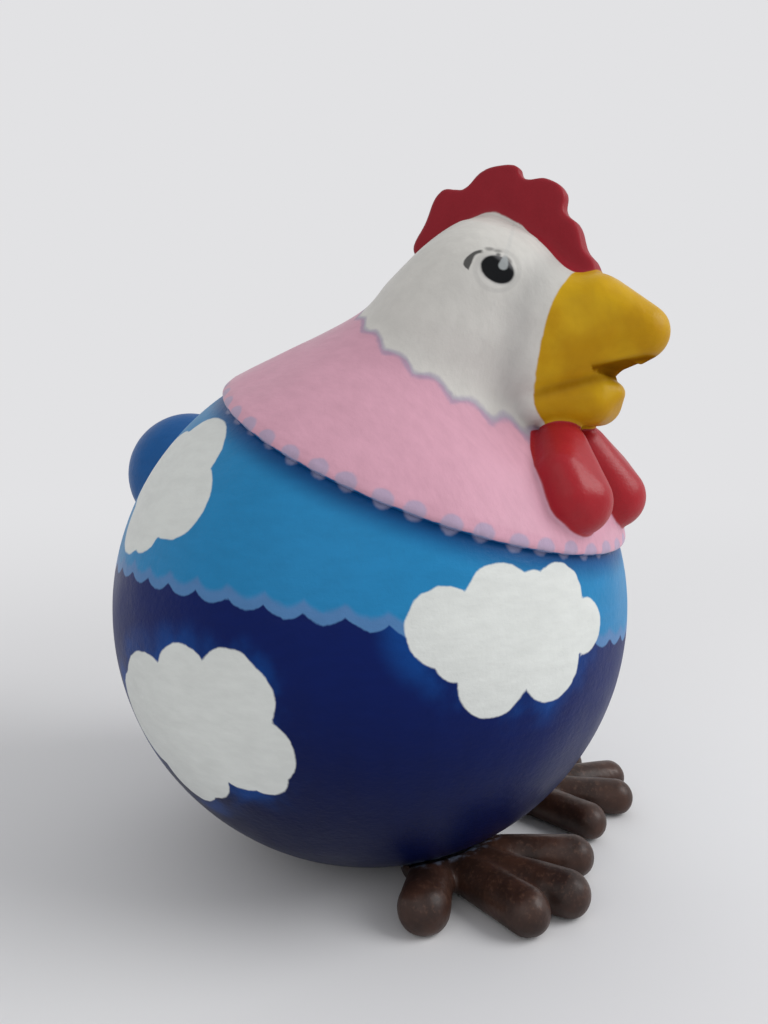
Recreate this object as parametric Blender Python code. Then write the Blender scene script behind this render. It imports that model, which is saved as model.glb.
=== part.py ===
"""Hen figurine: a papered ball with neck, collar, head, comb, beak, wattles and tail, on two clay feet.

Metres, +Z up. The hen faces -Y and its right side is -X. The origin is the centre of the small flat that the ball
rests on. A place in the hen's middle plane is written as (forward, up) from the centre of the collar's rim, and a
place on one side adds the distance from that plane. The body is one closed papered form, so it is one solid. Each
foot is a separate lump of clay that is glued under the ball.
"""

from math import cos, pi, radians, sin, sqrt
from typing import NamedTuple

import bmesh
import bpy
from mathutils import Vector

# Ball
BALL_RADIUS = 0.150
REST_FLAT_DEPTH = 0.003
BALL_SEGMENTS = 56
BALL_RINGS = 28

# Collar rim, a circle that leans forward on the ball
RIM_LEAN = radians(24)
RIM_SEAT_RADIUS = 0.116
RIM_OVERHANG = 0.0028
RIM_THICKNESS = 0.004
RIM_BULGE = 0.001
RIM_ROOT_DEPTH = 0.022


class Station(NamedTuple):
    """A ring round the neck or head, from its back point to its front point, measured from the rim's centre."""

    back: tuple
    front: tuple
    half_width: float


COLLAR_FLARE = Station((-0.073, 0.066), (0.0977, -0.0165), 0.094)
COLLAR_TOP = Station((-0.029, 0.084), (0.0735, 0.0165), 0.066)
CHEEK = Station((-0.011, 0.099), (0.083, 0.051), 0.057)
BROW = Station((0.008, 0.114), (0.0895, 0.0845), 0.046)
CROWN = Station((0.026, 0.125), (0.0735, 0.109), 0.027)
CROWN_PEAK = (0.0445, 0.1295)
NECK_SEGMENTS = 40
RINGS_BETWEEN_STATIONS = 3

# Comb, a papered card in the middle plane. Its outline runs from the rear tip over the lobes to the beak.
COMB_OUTLINE = (
    (-0.006, 0.114),
    (0.001, 0.131),
    (0.012, 0.147),
    (0.019, 0.146),
    (0.025, 0.145),
    (0.036, 0.152),
    (0.048, 0.153),
    (0.057, 0.150),
    (0.060, 0.144),
    (0.073, 0.141),
    (0.083, 0.132),
    (0.083, 0.123),
    (0.090, 0.115),
    (0.094, 0.103),
    (0.100, 0.091),
    (0.085, 0.085),
    (0.045, 0.110),
)
COMB_BASE_THICKNESS = 0.012
COMB_EDGE_THICKNESS = 0.008
COMB_ROUNDING = 0.003
COMB_CURVE_STEPS = 3
SAME_PLACE = 0.00001

# Beak, each row (forward, up, side, radius)
UPPER_BEAK_BALLS = (
    (0.073, 0.066, 0.010, 0.022),
    (0.071, 0.044, 0.014, 0.018),
    (0.099, 0.072, 0.004, 0.018),
    (0.101, 0.056, 0.010, 0.013),
    (0.121, 0.0595, 0.000, 0.0142),
)
LOWER_BEAK_BALLS = (
    (0.072, 0.026, 0.016, 0.0112),
    (0.0995, 0.027, 0.005, 0.0118),
)
MOUTH_GAP_BALLS = (
    (0.0995, 0.0400, 0.016, 0.0012),
    (0.1180, 0.0420, 0.022, 0.0030),
)

# Wattles, which spread as they hang from the beak, each row (forward, up, side, radius)
WATTLE_BALLS = (
    (0.0835, 0.0075, 0.0175, 0.0142),
    (0.0950, -0.0075, 0.0320, 0.0120),
    (0.1000, -0.0212, 0.0255, 0.0172),
)

# Tail, an upturned lump at the back of the ball
TAIL_RISE = radians(24)
TAIL_LENGTH = 0.073
TAIL_ROOT_RADIUS = 0.051
TAIL_TIP_RADIUS = 0.044

# Feet
TOE_ROOT_RADIUS = 0.0116
TOE_HEIGHT = 0.0110
PAD_RADIUS = 0.022
FOOT_GLUE_GAP = 0.0003


class Toe(NamedTuple):
    """The way a toe points, turned outward from straight ahead, with its length and the radius of its tip."""

    direction: float
    length: float
    tip_radius: float


class Foot(NamedTuple):
    """Where a foot's pad lies under the ball, and its toes from the inner one out."""

    side: float
    forward: float
    toes: tuple


RIGHT_FOOT = Foot(
    -0.019,
    0.059,
    (
        Toe(radians(-66), 0.0515, 0.0140),
        Toe(radians(-18), 0.0675, 0.0125),
        Toe(radians(4), 0.0750, 0.0125),
        Toe(radians(34), 0.0765, 0.0120),
    ),
)
LEFT_FOOT = Foot(
    0.083,
    0.055,
    (
        Toe(radians(-13), 0.0610, 0.0115),
        Toe(radians(25), 0.0680, 0.0120),
        Toe(radians(51), 0.0750, 0.0115),
        Toe(radians(78), 0.0660, 0.0120),
    ),
)

# Facets round and along the lumps
LUMP_FACETS = (16, 10)
TAIL_FACETS = (24, 14)
TOE_FACETS = (14, 9)
MOUTH_FACETS = (8, 6)
PAD_FACETS = (24, 12)

# Finishes
PAINT_COLOUR = (0.10, 0.35, 0.62)
CLAY_COLOUR = (0.10, 0.05, 0.035)
SATIN_ROUGHNESS = 0.35

BALL_CENTRE = Vector((0, 0, BALL_RADIUS - REST_FLAT_DEPTH))
RIM_SEAT_RISE = sqrt(BALL_RADIUS**2 - RIM_SEAT_RADIUS**2)
RIM_NORMAL = Vector((0, -sin(RIM_LEAN), cos(RIM_LEAN)))
RIM_CENTRE = BALL_CENTRE + RIM_NORMAL * RIM_SEAT_RISE


def from_rim(forward, up, side=0.0):
    """A point given by its place ahead of, above and beside the rim's centre."""
    return RIM_CENTRE + Vector((side, -forward, up))


def clear_scene():
    for thing in list(bpy.data.objects):
        bpy.data.objects.remove(thing)


def collection(name):
    made = bpy.data.collections.new(name)
    bpy.context.scene.collection.children.link(made)
    return made


def material(name, colour):
    made = bpy.data.materials.new(name)
    made.use_nodes = True
    shader = made.node_tree.nodes["Principled BSDF"]
    shader.inputs["Base Color"].default_value = (*colour, 1)
    shader.inputs["Roughness"].default_value = SATIN_ROUGHNESS
    return made


def mesh_object(name, shape, home):
    """An object in the collection home that holds the bmesh shape, which is freed."""
    bmesh.ops.recalc_face_normals(shape, faces=shape.faces)
    mesh = bpy.data.meshes.new(name)
    shape.to_mesh(mesh)
    shape.free()
    made = bpy.data.objects.new(name, mesh)
    home.objects.link(made)
    return made


def ball(radius, centre, facets):
    around, along = facets
    shape = bmesh.new()
    bmesh.ops.create_uvsphere(shape, u_segments=around, v_segments=along, radius=radius)
    bmesh.ops.translate(shape, verts=shape.verts, vec=centre)
    return shape


def hull_of_balls(balls, facets=LUMP_FACETS):
    """The smooth convex form stretched over several balls, each a (centre, radius)."""
    around, along = facets
    shape = bmesh.new()
    for centre, radius in balls:
        made = bmesh.ops.create_uvsphere(shape, u_segments=around, v_segments=along, radius=radius)
        bmesh.ops.translate(shape, verts=made["verts"], vec=centre)
    bmesh.ops.delete(shape, geom=shape.edges[:] + shape.faces[:], context="EDGES_FACES")
    bmesh.ops.convex_hull(shape, input=shape.verts)
    inner = [v for v in shape.verts if not v.link_faces]
    bmesh.ops.delete(shape, geom=inner, context="VERTS")
    return shape


def ring(back, front, half_width):
    """Points round an ellipse that leans from its back point down to its front point."""
    centre = (back + front) / 2
    half_depth = (front - back) / 2
    points = []
    for i in range(NECK_SEGMENTS):
        turn = 2 * pi * i / NECK_SEGMENTS
        points.append(centre + half_depth * cos(turn) + Vector((half_width * sin(turn), 0, 0)))
    return points


def skin(rings, peak):
    """A closed skin over the rings in order, flat at the first and drawn to the peak at the last."""
    shape = bmesh.new()
    rows = [[shape.verts.new(point) for point in points] for points in rings]
    top = shape.verts.new(peak)
    count = len(rows[0])
    shape.faces.new(rows[0])
    for lower, upper in zip(rows, rows[1:]):
        for i in range(count):
            j = (i + 1) % count
            shape.faces.new((lower[i], lower[j], upper[j], upper[i]))
    for i in range(count):
        shape.faces.new((rows[-1][i], rows[-1][(i + 1) % count], top))
    return shape


def spline_point(before, start, end, after, share):
    """A point between start and end on the smooth curve that also passes the points on either side."""
    along = (end - before) / 2
    away = (after - start) / 2
    s = share
    return (
        start * (2 * s**3 - 3 * s**2 + 1)
        + along * (s**3 - 2 * s**2 + s)
        + end * (3 * s**2 - 2 * s**3)
        + away * (s**3 - s**2)
    )


def rim_ring(radius, rise):
    """A ring parallel to the rim, rise above it, as its back point, front point and half width."""
    centre = RIM_CENTRE + RIM_NORMAL * rise
    reach = Vector((0, -cos(RIM_LEAN), -sin(RIM_LEAN))) * radius
    return centre - reach, centre + reach, radius


def neck_and_head():
    """The collar's rim and the leaning neck that closes over the head."""
    edge = RIM_SEAT_RADIUS + RIM_OVERHANG
    rim = [
        rim_ring(RIM_SEAT_RADIUS - RIM_ROOT_DEPTH, -RIM_ROOT_DEPTH),
        rim_ring(RIM_SEAT_RADIUS - RIM_OVERHANG, -RIM_THICKNESS / 2),
        rim_ring(edge, 0),
        rim_ring(edge + RIM_BULGE, RIM_THICKNESS / 2),
        rim_ring(edge, RIM_THICKNESS),
    ]
    stations = [
        (from_rim(*s.back), from_rim(*s.front), s.half_width)
        for s in (COLLAR_FLARE, COLLAR_TOP, CHEEK, BROW, CROWN)
    ]
    peak = from_rim(*CROWN_PEAK)
    path = [rim[-1], *stations, (peak, peak, 0.0)]
    flank = []
    for i in range(len(path) - 2):
        four = [path[max(i - 1, 0)], path[i], path[i + 1], path[i + 2]]
        for step in range(1, RINGS_BETWEEN_STATIONS + 1):
            share = step / RINGS_BETWEEN_STATIONS
            flank.append(tuple(spline_point(*(s[k] for s in four), share) for k in range(3)))
    return skin([ring(*place) for place in rim + flank], peak)


def comb(name, home):
    """The comb's outline as a filled flat curve, then thinned from its base to its edge."""
    curve = bpy.data.curves.new(name, "CURVE")
    curve.dimensions = "2D"
    curve.fill_mode = "BOTH"
    curve.extrude = COMB_BASE_THICKNESS / 2 - COMB_ROUNDING
    curve.bevel_depth = COMB_ROUNDING
    curve.offset = -COMB_ROUNDING
    curve.bevel_resolution = 1
    curve.resolution_u = COMB_CURVE_STEPS
    spline = curve.splines.new("BEZIER")
    spline.use_cyclic_u = True
    spline.bezier_points.add(len(COMB_OUTLINE) - 1)
    for point, (forward, up) in zip(spline.bezier_points, COMB_OUTLINE):
        point.co = (forward, up, 0)
        point.handle_left_type = "AUTO"
        point.handle_right_type = "AUTO"
    drawn = bpy.data.objects.new(name + "_outline", curve)
    home.objects.link(drawn)
    flat = bpy.data.meshes.new_from_object(drawn.evaluated_get(bpy.context.evaluated_depsgraph_get()))
    bpy.data.objects.remove(drawn)
    shape = bmesh.new()
    shape.from_mesh(flat)
    bmesh.ops.remove_doubles(shape, verts=shape.verts, dist=SAME_PLACE)
    low = min(v.co.y for v in shape.verts)
    high = max(v.co.y for v in shape.verts)
    for vertex in shape.verts:
        forward, up, side = vertex.co
        share = (up - low) / (high - low)
        thinned = 1 + share * (COMB_EDGE_THICKNESS / COMB_BASE_THICKNESS - 1)
        vertex.co = from_rim(forward, up, side * thinned)
    return mesh_object(name, shape, home)


def mirrored_balls(rows):
    """Balls on both sides of the middle plane, from rows of (forward, up, side, radius)."""
    balls = []
    for forward, up, side, radius in rows:
        balls.append((from_rim(forward, up, side), radius))
        if side:
            balls.append((from_rim(forward, up, -side), radius))
    return balls


def wattle_balls(hand):
    """The balls of one wattle, on the right side where hand is -1 and on the left where it is 1."""
    return [(from_rim(forward, up, hand * side), radius) for forward, up, side, radius in WATTLE_BALLS]


def tail_balls():
    out = Vector((0, cos(TAIL_RISE), sin(TAIL_RISE)))
    return [
        (BALL_CENTRE + out * (BALL_RADIUS - TAIL_ROOT_RADIUS), TAIL_ROOT_RADIUS),
        (BALL_CENTRE + out * (BALL_RADIUS + TAIL_LENGTH - TAIL_TIP_RADIUS), TAIL_TIP_RADIUS),
    ]


def boolean(target, tool, operation):
    step = target.modifiers.new(operation.lower() + " " + tool.name, "BOOLEAN")
    step.operation = operation
    step.solver = "EXACT"
    step.object = tool


def as_tool(thing):
    thing.hide_render = True
    thing.display_type = "WIRE"
    return thing


def hen_body(home, tools):
    shape = ball(BALL_RADIUS, BALL_CENTRE, (BALL_SEGMENTS, BALL_RINGS))
    everything = shape.verts[:] + shape.edges[:] + shape.faces[:]
    cut = bmesh.ops.bisect_plane(
        shape, geom=everything, plane_co=(0, 0, 0), plane_no=(0, 0, -1), clear_outer=True
    )
    flat_edges = [e for e in cut["geom_cut"] if isinstance(e, bmesh.types.BMEdge)]
    bmesh.ops.edgeloop_fill(shape, edges=flat_edges)
    body = mesh_object("hen_body", shape, home)
    forms = [
        mesh_object("tail_form", hull_of_balls(tail_balls(), TAIL_FACETS), tools),
        mesh_object("neck_form", neck_and_head(), tools),
        comb("comb_form", tools),
        mesh_object("upper_beak_form", hull_of_balls(mirrored_balls(UPPER_BEAK_BALLS)), tools),
        mesh_object("lower_beak_form", hull_of_balls(mirrored_balls(LOWER_BEAK_BALLS)), tools),
        mesh_object("wattle_form_right", hull_of_balls(wattle_balls(-1)), tools),
        mesh_object("wattle_form_left", hull_of_balls(wattle_balls(1)), tools),
    ]
    for form in forms:
        boolean(body, as_tool(form), "UNION")
    mouth = hull_of_balls(mirrored_balls(MOUTH_GAP_BALLS), MOUTH_FACETS)
    boolean(body, as_tool(mesh_object("mouth_cutter", mouth, tools)), "DIFFERENCE")
    return body


def foot(name, plan, home, tools, ball_seat, ground):
    pad = Vector((plan.side, -plan.forward, TOE_HEIGHT))
    made = mesh_object(name, ball(PAD_RADIUS, pad, PAD_FACETS), home)
    for number, toe in enumerate(plan.toes, 1):
        tip = pad + Vector((sin(toe.direction), -cos(toe.direction), 0)) * toe.length
        form = hull_of_balls([(pad, TOE_ROOT_RADIUS), (tip, toe.tip_radius)], TOE_FACETS)
        boolean(made, as_tool(mesh_object(f"{name}_toe_form_{number}", form, tools)), "UNION")
    boolean(made, ball_seat, "DIFFERENCE")
    boolean(made, ground, "DIFFERENCE")
    return made


def ground_cutter(tools):
    """A block under the ground plane, wide enough for every toe."""
    width = 4 * BALL_RADIUS
    shape = bmesh.new()
    bmesh.ops.create_cube(shape, size=width)
    bmesh.ops.translate(shape, verts=shape.verts, vec=(0, 0, -width / 2))
    return as_tool(mesh_object("ground_cutter", shape, tools))


def main():
    clear_scene()
    home = collection("Hen figurine")
    tools = collection("Forms and cutters")
    body = hen_body(home, tools)
    body.data.materials.append(material("painted paper", PAINT_COLOUR))
    seat = ball(BALL_RADIUS + FOOT_GLUE_GAP, BALL_CENTRE, (BALL_SEGMENTS * 2, BALL_RINGS * 2))
    ball_seat = as_tool(mesh_object("ball_seat_cutter", seat, tools))
    ground = ground_cutter(tools)
    clay = material("brown clay", CLAY_COLOUR)
    for name, plan in (("foot_right", RIGHT_FOOT), ("foot_left", LEFT_FOOT)):
        foot(name, plan, home, tools, ball_seat, ground).data.materials.append(clay)


main()
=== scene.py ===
"""The painted look of the hen figurine: its papered ball, its head and collar, its tail and its clay feet.

Metres, +Z up, in the part's own frame. The hen faces -Y and its right side is -X. The forms are the
part's own, drawn finer and joined by soft fillets, as layers of paper join them. The paint is worked
out on each piece as distances to painted edges, which the materials then read.
"""

from math import cos, pi, radians, sin, sqrt
from typing import NamedTuple

import bmesh
import bpy
import numpy as np
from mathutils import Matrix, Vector, noise
from mathutils.bvhtree import BVHTree


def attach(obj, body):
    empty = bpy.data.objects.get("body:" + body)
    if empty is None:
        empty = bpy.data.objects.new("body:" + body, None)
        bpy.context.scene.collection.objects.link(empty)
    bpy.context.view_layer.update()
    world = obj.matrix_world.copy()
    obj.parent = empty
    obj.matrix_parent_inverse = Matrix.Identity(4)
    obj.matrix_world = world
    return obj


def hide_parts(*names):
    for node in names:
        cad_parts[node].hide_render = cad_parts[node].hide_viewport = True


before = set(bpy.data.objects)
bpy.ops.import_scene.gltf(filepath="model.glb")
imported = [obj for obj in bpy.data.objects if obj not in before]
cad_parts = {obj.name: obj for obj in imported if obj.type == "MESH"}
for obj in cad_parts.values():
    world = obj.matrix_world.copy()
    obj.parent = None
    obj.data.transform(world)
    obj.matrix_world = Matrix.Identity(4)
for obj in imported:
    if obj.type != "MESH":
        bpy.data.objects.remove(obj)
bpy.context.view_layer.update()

MM = 0.001
SEED = 7

# Lengths taken as nothing, in sums and between a point and a surface
TINY = 1e-9
TOUCHING = 1e-6

# Ball
BALL_RADIUS = 0.150
BALL_CENTRE = Vector((0, 0, 0.147))

# Collar rim
RIM_LEAN = radians(24)
RIM_SEAT_RADIUS = 0.116
RIM_OVERHANG = 0.0028
RIM_THICKNESS = 0.004
RIM_BULGE = 0.001
RIM_ROOT_DEPTH = 0.022
RIM_NORMAL = Vector((0, -sin(RIM_LEAN), cos(RIM_LEAN)))
RIM_FORWARD = Vector((0, -cos(RIM_LEAN), -sin(RIM_LEAN)))
RIM_CENTRE = BALL_CENTRE + RIM_NORMAL * sqrt(BALL_RADIUS**2 - RIM_SEAT_RADIUS**2)


class Station(NamedTuple):
    """A ring round the neck or head: its back and front points from the rim's centre, and half its width."""

    back: tuple
    front: tuple
    half_width: float


STATIONS = (
    Station((-0.073, 0.066), (0.0977, -0.0165), 0.094),
    Station((-0.029, 0.084), (0.0735, 0.0165), 0.066),
    Station((-0.011, 0.099), (0.083, 0.051), 0.057),
    Station((0.008, 0.114), (0.0895, 0.0845), 0.046),
    Station((0.026, 0.125), (0.0735, 0.109), 0.027),
)
CROWN_PEAK = (0.0445, 0.1295)
NECK_SEGMENTS = 144
RINGS_BETWEEN_STATIONS = 9

# Comb outline in the middle plane, as (forward, up) from the rim's centre
COMB_OUTLINE = (
    (-0.006, 0.114),
    (0.001, 0.131),
    (0.012, 0.147),
    (0.019, 0.146),
    (0.025, 0.145),
    (0.036, 0.152),
    (0.048, 0.153),
    (0.057, 0.150),
    (0.060, 0.144),
    (0.073, 0.141),
    (0.083, 0.132),
    (0.083, 0.123),
    (0.090, 0.115),
    (0.094, 0.103),
    (0.100, 0.091),
    (0.085, 0.085),
    (0.045, 0.110),
)
COMB_BASE_THICKNESS = 0.012
COMB_EDGE_THICKNESS = 0.008
COMB_ROUNDING = 0.003

# Beak, each row (forward, up, side, radius)
UPPER_BEAK_BALLS = (
    (0.073, 0.066, 0.010, 0.022),
    (0.071, 0.044, 0.014, 0.018),
    (0.099, 0.072, 0.004, 0.018),
    (0.101, 0.056, 0.010, 0.013),
    (0.121, 0.0595, 0.000, 0.0142),
)
LOWER_BEAK_BALLS = (
    (0.072, 0.026, 0.016, 0.0112),
    (0.0995, 0.027, 0.005, 0.0118),
    (0.1015, 0.0312, 0.005, 0.0094),
    (0.1080, 0.0310, 0.001, 0.0064),
)
MOUTH_GAP_BALLS = (
    (0.1055, 0.0418, 0.012, 0.0009),
    (0.1180, 0.0435, 0.020, 0.0020),
    (0.1150, 0.0390, 0.020, 0.0020),
)

# Wattles, each row (forward, up, side, radius)
WATTLE_BALLS = (
    (0.0875, 0.0035, 0.0145, 0.0140),
    (0.0950, -0.0075, 0.0320, 0.0120),
    (0.1008, -0.0190, 0.0335, 0.0132),
    (0.1008, -0.0210, 0.0260, 0.0172),
)

# Tail
TAIL_RISE = radians(24.8)
TAIL_LENGTH = 0.071
TAIL_ROOT_RADIUS = 0.051
TAIL_TIP_RADIUS = 0.044

# Feet
TOE_ROOT_RADIUS = 0.0116
TOE_HEIGHT = 0.0110
PAD_RADIUS = 0.022
FOOT_GLUE_GAP = 0.0003


class Toe(NamedTuple):
    """How far a toe turns outward from straight ahead, its length and the radius of its tip."""

    direction: float
    length: float
    tip_radius: float


class Foot(NamedTuple):
    """Where a foot's pad lies under the ball, and its toes from the inner one out."""

    side: float
    forward: float
    toes: tuple


RIGHT_FOOT = Foot(
    -0.019,
    0.059,
    (
        Toe(radians(-66), 0.0515, 0.0140),
        Toe(radians(-18), 0.0675, 0.0125),
        Toe(radians(4), 0.0750, 0.0125),
        Toe(radians(34), 0.0765, 0.0120),
    ),
)
LEFT_FOOT = Foot(
    0.083,
    0.055,
    (
        Toe(radians(-13), 0.0610, 0.0115),
        Toe(radians(25), 0.0680, 0.0120),
        Toe(radians(51), 0.0750, 0.0115),
        Toe(radians(78), 0.0660, 0.0120),
    ),
)

# Where the ball's cap begins, above the rim, and how far the ball piece stays below it
CAP_RISE = 0.012
CAP_SINK = 0.003

# How wide the paper or clay fills the corner where a form joins what carries it
FILLET_THROAT = 0.010
FILLET_COMB = 0.005
FILLET_UPPER_BEAK = 0.012
FILLET_LOWER_BEAK = 0.0035
FILLET_MOUTH = 0.0015
FILLET_WATTLE = 0.0030
FILLET_TAIL = 0.012
FILLET_TOE = 0.0040
FILLET_GROUND = 0.0025

# Mesh sizes
HEAD_VOXEL = 0.00125
BALL_VOXEL = 0.0021
FOOT_VOXEL = 0.0010
BALL_FACETS = (128, 64)
LUMP_FACETS = (48, 32)

# How often each mesh is drawn onto its true form and then smoothed, and the least slope taken in a fillet
HEAD_ROUNDS = (2, 2)
BALL_ROUNDS = (3, 1)
FOOT_ROUNDS = (4, 2)
LEAST_SLOPE = 0.25

# Hand-made unevenness, each row (depth, size)
HEAD_LUMPS = ((0.35 * MM, 0.035), (0.12 * MM, 0.009))
BALL_LUMPS = ((0.45 * MM, 0.045), (0.10 * MM, 0.011))
FOOT_LUMPS = ((0.6 * MM, 0.013),)
FOOT_SINK = 0.4 * MM

# Clouds, each puff (across, up, radius) in millimetres on the ball from the cloud's own centre
FRONT_CLOUD = (
    (-38.5, 7, 18),
    (-11, 14, 19.5),
    (6, 14, 15),
    (22, 14.5, 17),
    (41, 0, 13.5),
    (17, -15, 18),
    (-16, -18, 17.5),
    (-34, -7, 10),
    (0, 0, 24),
)
LOW_CLOUD = (
    (-32.5, 6, 26.5),
    (-3.5, 23.5, 18.5),
    (24, 26, 17),
    (29, 20, 17.5),
    (32, -6, 19.5),
    (33, -19, 12),
    (20, -14, 16),
    (-8, -24, 19),
    (-22, -32, 19.5),
    (-44.5, -8, 27),
    (-10, 0, 32),
    (18, 5, 25),
)
HIGH_CLOUD = (
    (2, -11.5, 21),
    (-20, -23.5, 16.5),
    (-36, -21, 20),
    (-12.5, 11, 27.5),
    (-42, 8, 25),
)


class Cloud(NamedTuple):
    """A cloud's centre round and up the ball, its puffs, and 1 or -1 to face it either way."""

    azimuth: float
    rise: float
    puffs: tuple
    facing: int


CLOUDS = (
    Cloud(radians(-27), radians(3), FRONT_CLOUD, 1),
    Cloud(radians(-88), radians(-15), LOW_CLOUD, 1),
    Cloud(radians(-98), radians(31), HIGH_CLOUD, 1),
    Cloud(radians(36), radians(-22), LOW_CLOUD, -1),
    Cloud(radians(74), radians(19), FRONT_CLOUD, -1),
    Cloud(radians(122), radians(-12), LOW_CLOUD, 1),
    Cloud(radians(133), radians(33), FRONT_CLOUD, 1),
    Cloud(radians(-170), radians(-20), FRONT_CLOUD, -1),
)


def placed(name, data):
    """A new object in the scene."""
    made = bpy.data.objects.new(name, data)
    bpy.context.scene.collection.objects.link(made)
    return made


def as_mesh(name, shape):
    """The mesh of a drawn shape, which is then let go."""
    mesh = bpy.data.meshes.new(name)
    shape.to_mesh(mesh)
    shape.free()
    return mesh


def from_rim(forward, up, side=0.0):
    """A point given by its place ahead of, above and beside the rim's centre."""
    return RIM_CENTRE + Vector((side, -forward, up))


def lengths(vectors):
    """The length of each row."""
    return np.sqrt((vectors**2).sum(axis=-1))


class BallForm:
    """A ball that can say how far points lie outside it, and which way is out."""

    def __init__(self, centre, radius):
        self.centre = np.array(centre)
        self.radius = radius

    def measure(self, points):
        away = points - self.centre
        far = lengths(away)
        return far - self.radius, away / far[:, None]

    def mesh(self):
        return hull_of_balls([(self.centre, self.radius)], BALL_FACETS)


class CapForm:
    """The part of a ball beyond a plane."""

    def __init__(self, ball, place, out):
        self.ball = ball
        self.place = np.array(place)
        self.out = np.array(out)

    def measure(self, points):
        depth = (points - self.place) @ self.out
        far, out = self.ball.measure(points)
        cut = -depth > far
        return np.where(cut, -depth, far), np.where(cut[:, None], -self.out, out)

    def mesh(self):
        shape = self.ball.mesh()
        parts = shape.verts[:] + shape.edges[:] + shape.faces[:]
        bmesh.ops.bisect_plane(shape, geom=parts, plane_co=self.place, plane_no=self.out, clear_inner=True)
        bmesh.ops.holes_fill(shape, edges=[e for e in shape.edges if e.is_boundary])
        return shape


class ConeForm:
    """A cone with a ball at each end."""

    def __init__(self, start, start_radius, end, end_radius):
        self.start = np.array(start)
        self.start_radius = start_radius
        self.end = np.array(end)
        self.end_radius = end_radius

    def measure(self, points):
        """Each point is measured from the ball along the cone that lies nearest to it."""
        axis = self.end - self.start
        span = np.linalg.norm(axis)
        axis = axis / span
        away = points - self.start
        along = away @ axis
        across = lengths(away - along[:, None] * axis)
        slope = (self.start_radius - self.end_radius) / span
        place = np.clip(along - across * slope / sqrt(1 - slope**2), 0, span)
        radius = self.start_radius + (self.end_radius - self.start_radius) * place / span
        from_ball = away - place[:, None] * axis
        far = np.maximum(lengths(from_ball), TINY)
        return far - radius, from_ball / far[:, None]

    def mesh(self):
        return hull_of_balls([(self.start, self.start_radius), (self.end, self.end_radius)], LUMP_FACETS)


class MeshForm:
    """Any closed form, measured from the nearest point of its mesh."""

    def __init__(self, shape):
        self.shape = shape
        bmesh.ops.recalc_face_normals(shape, faces=shape.faces)
        self.tree = BVHTree.FromBMesh(shape)

    def measure(self, points):
        far = np.empty(len(points))
        out = np.empty((len(points), 3))
        for i, point in enumerate(points):
            near, normal, _, gap = self.tree.find_nearest(point)
            away = Vector(point) - near
            sign = 1 if away.dot(normal) >= 0 else -1
            far[i] = sign * gap
            out[i] = away * (sign / gap) if gap > TOUCHING else normal
        return far, out

    def mesh(self):
        return self.shape.copy()


def hull_of_balls(balls, facets):
    """The smooth convex form stretched over several balls, each a (centre, radius)."""
    around, along = facets
    shape = bmesh.new()
    for centre, radius in balls:
        made = bmesh.ops.create_uvsphere(shape, u_segments=around, v_segments=along, radius=radius)
        bmesh.ops.translate(shape, verts=made["verts"], vec=centre)
    if len(balls) > 1:
        bmesh.ops.delete(shape, geom=shape.edges[:] + shape.faces[:], context="EDGES_FACES")
        bmesh.ops.convex_hull(shape, input=shape.verts)
        inner = [v for v in shape.verts if not v.link_faces]
        bmesh.ops.delete(shape, geom=inner, context="VERTS")
    return shape


def hull_form(balls):
    return MeshForm(hull_of_balls(balls, LUMP_FACETS))


def ring(back, front, half_width):
    """Points round an ellipse that leans from its back point down to its front point."""
    centre = (back + front) / 2
    half_depth = (front - back) / 2
    points = []
    for i in range(NECK_SEGMENTS):
        turn = 2 * pi * i / NECK_SEGMENTS
        points.append(centre + half_depth * cos(turn) + Vector((half_width * sin(turn), 0, 0)))
    return points


def skin(rings, peak):
    """A closed skin over the rings in order, flat at the first and drawn to the peak at the last."""
    shape = bmesh.new()
    rows = [[shape.verts.new(point) for point in points] for points in rings]
    top = shape.verts.new(peak)
    count = len(rows[0])
    shape.faces.new(rows[0])
    for lower, upper in zip(rows, rows[1:]):
        for i in range(count):
            j = (i + 1) % count
            shape.faces.new((lower[i], lower[j], upper[j], upper[i]))
    for i in range(count):
        shape.faces.new((rows[-1][i], rows[-1][(i + 1) % count], top))
    return shape


def spline_point(before, start, end, after, share):
    """A point between start and end on the smooth curve that also passes the points on either side."""
    along = (end - before) / 2
    away = (after - start) / 2
    s = share
    return (
        start * (2 * s**3 - 3 * s**2 + 1)
        + along * (s**3 - 2 * s**2 + s)
        + end * (3 * s**2 - 2 * s**3)
        + away * (s**3 - s**2)
    )


def rim_ring(radius, rise):
    """A ring parallel to the rim, rise above it, as its back point, front point and half width."""
    centre = RIM_CENTRE + RIM_NORMAL * rise
    return centre - RIM_FORWARD * radius, centre + RIM_FORWARD * radius, radius


def neck_and_head():
    """The collar's rim and the leaning neck that closes over the head."""
    edge = RIM_SEAT_RADIUS + RIM_OVERHANG
    rim = [
        rim_ring(RIM_SEAT_RADIUS - RIM_ROOT_DEPTH, -RIM_ROOT_DEPTH),
        rim_ring(RIM_SEAT_RADIUS - RIM_OVERHANG, -RIM_THICKNESS / 2),
        rim_ring(edge, 0),
        rim_ring(edge + RIM_BULGE, RIM_THICKNESS / 2),
        rim_ring(edge, RIM_THICKNESS),
    ]
    peak = from_rim(*CROWN_PEAK)
    path = [rim[-1], *((from_rim(*s.back), from_rim(*s.front), s.half_width) for s in STATIONS)]
    path.append((peak, peak, 0.0))
    flank = []
    for i in range(len(path) - 2):
        four = [path[max(i - 1, 0)], path[i], path[i + 1], path[i + 2]]
        for step in range(1, RINGS_BETWEEN_STATIONS + 1):
            share = step / RINGS_BETWEEN_STATIONS
            flank.append(tuple(spline_point(*(s[k] for s in four), share) for k in range(3)))
    return skin([ring(*place) for place in rim + flank], peak)


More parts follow.
